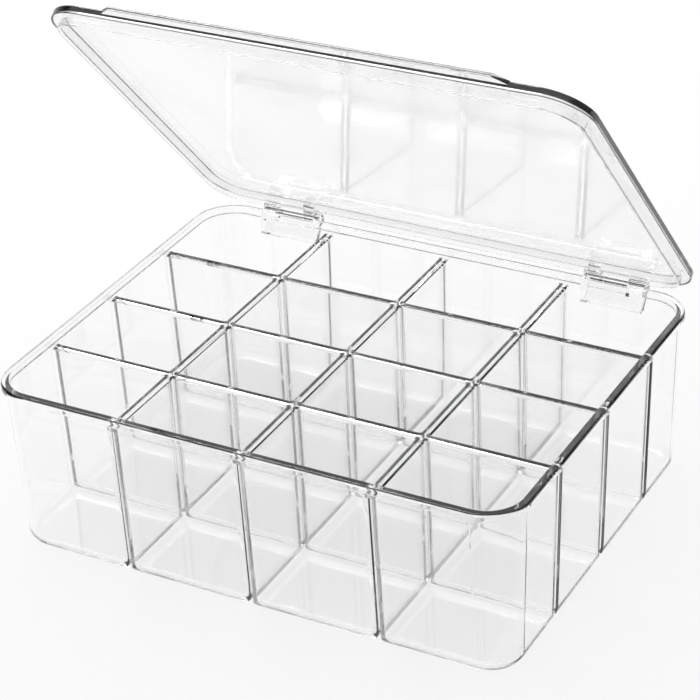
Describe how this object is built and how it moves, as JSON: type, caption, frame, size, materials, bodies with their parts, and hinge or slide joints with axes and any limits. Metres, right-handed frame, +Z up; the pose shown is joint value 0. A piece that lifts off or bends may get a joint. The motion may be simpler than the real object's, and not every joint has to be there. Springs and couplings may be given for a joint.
{
  "type": "sock organizer box",
  "caption": "Low clear box divided into a grid of deep cells for rolled socks, with a hinged clear lid that swings up from the back.",
  "frame": {"origin": "on the surface that the box stands on, at the centre of the bounding box", "axes": "+X to the right along the front, +Y towards the hinge at the back, +Z up; the lid stands part-open at rest"},
  "size_m": [0.32, 0.259, 0.3027],
  "materials": {
    "tray_plastic": "clear, polished",
    "lid_plastic": "clear, polished",
    "pin_steel": "drawn wire, bright"
  },
  "bodies": {
    "tray_body": {"tray": "tray_plastic", "hinge_pin_left": "pin_steel", "hinge_pin_right": "pin_steel"},
    "lid_body": {"lid": "lid_plastic"}
  },
  "joints": [
    {"name": "lid_hinge", "type": "hinge", "parent": "tray_body", "child": "lid_body", "pos_m": [0, 0.1245, 0.103], "axis": [-1, 0, 0], "range_deg": [-48.7, 63.3]}
  ]
}
